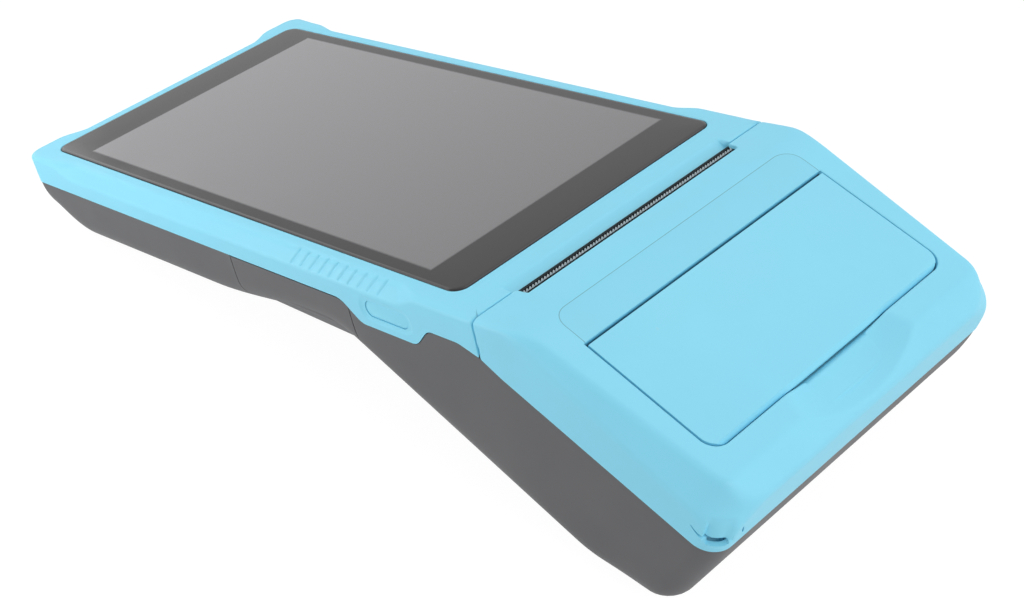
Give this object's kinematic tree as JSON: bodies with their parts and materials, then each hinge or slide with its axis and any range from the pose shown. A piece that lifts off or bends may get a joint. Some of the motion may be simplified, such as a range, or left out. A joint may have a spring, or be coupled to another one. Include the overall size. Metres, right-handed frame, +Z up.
{
  "type": "portable thermal printer",
  "caption": "Handheld touch-screen terminal with a thermal receipt printer in its deep sloping end, a hinged paper lid and a flush lever plate.",
  "frame": {"origin": "middle of the flat foot under the paper bay, on the table", "axes": "+X to the right seen from the printer end, +Y towards the far end of the screen, +Z up"},
  "size_m": [0.086, 0.2141, 0.0493],
  "materials": {
    "blue_shell": "fine matt grain",
    "grey_shell": "fine matt grain",
    "cover_glass": "polished, dark behind",
    "dark_plastic": "smooth",
    "steel": "plain",
    "aluminium": "plain",
    "circuit_board": "solder mask",
    "battery_wrap": "shrink wrap",
    "gold_contact": "plated",
    "ceramic": "glazed",
    "gear_plastic": "natural acetal",
    "platen_rubber": "ground"
  },
  "bodies": {
    "housing": {"rear_housing": "grey_shell", "front_bezel": "blue_shell", "cover_glass": "cover_glass", "display_module": "dark_plastic", "display_frame": "steel", "main_board": "circuit_board", "shield_cans": "steel", "battery_pack": "battery_wrap", "battery_contacts": "gold_contact", "mechanism_chassis": "steel", "print_head": "ceramic", "head_heat_sink": "aluminium", "head_springs": "steel", "stepper_motor": "steel", "idler_pin": "steel", "paper_bin": "grey_shell", "paper_sensor": "dark_plastic", "lid_hinge_pin": "steel", "key_switches": "dark_plastic", "speaker": "dark_plastic", "charging_port": "steel", "case_screws": "steel"},
    "lid": {"paper_lid": "blue_shell", "tear_bar": "steel", "lever_pin": "steel", "platen_bushes": "gear_plastic"},
    "lever": {"lever_plate": "blue_shell", "latch_hooks": "steel"},
    "platen": {"platen_roller": "platen_rubber", "platen_shaft": "steel", "platen_gear": "gear_plastic"},
    "idler": {"idler_gear": "gear_plastic"},
    "motor_rotor": {"motor_shaft": "steel", "motor_pinion": "gear_plastic"},
    "battery_door": {"battery_cover": "grey_shell"},
    "left_button": {"left_key": "blue_shell"},
    "right_button": {"right_key": "blue_shell"}
  },
  "joints": [
    {"name": "lid_hinge", "type": "hinge", "parent": "housing", "child": "lid", "pos_m": [0, -0.02, 0.0273], "axis": [1, 0, 0], "range_deg": [0, 75]},
    {"name": "lever_hinge", "type": "hinge", "parent": "lid", "child": "lever", "pos_m": [0, 0.0111, 0.04547], "axis": [-1, 0, 0], "range_deg": [0, 35], "stiffness_Nm_per_rad": 0.02, "springref_deg": -11.46},
    {"name": "platen_spin", "type": "hinge", "parent": "lid", "child": "platen", "pos_m": [0, 0.02448, 0.0398], "axis": [1, 0, 0], "continuous": true},
    {"name": "idler_spin", "type": "hinge", "parent": "housing", "child": "idler", "pos_m": [0, 0.02781, 0.02715], "axis": [1, 0, 0], "continuous": true},
    {"name": "motor_spin", "type": "hinge", "parent": "housing", "child": "motor_rotor", "pos_m": [0, 0.03501, 0.0194], "axis": [1, 0, 0], "continuous": true},
    {"name": "battery_cover_slide", "type": "slide", "parent": "housing", "child": "battery_door", "axis": [0, -0.1781, -0.984], "range_m": [0, 0.01]},
    {"name": "left_key_press", "type": "slide", "parent": "housing", "child": "left_button", "axis": [1, 0, 0], "range_m": [0, 0.0008], "stiffness_N_per_m": 400, "springref_m": -0.0004},
    {"name": "right_key_press", "type": "slide", "parent": "housing", "child": "right_button", "axis": [-1, 0, 0], "range_m": [0, 0.0008], "stiffness_N_per_m": 400, "springref_m": -0.0004}
  ],
  "couplings": [
    {"joint": "idler_spin", "follows": "platen_spin", "ratio": -0.73333},
    {"joint": "motor_spin", "follows": "platen_spin", "ratio": 1.8333}
  ]
}
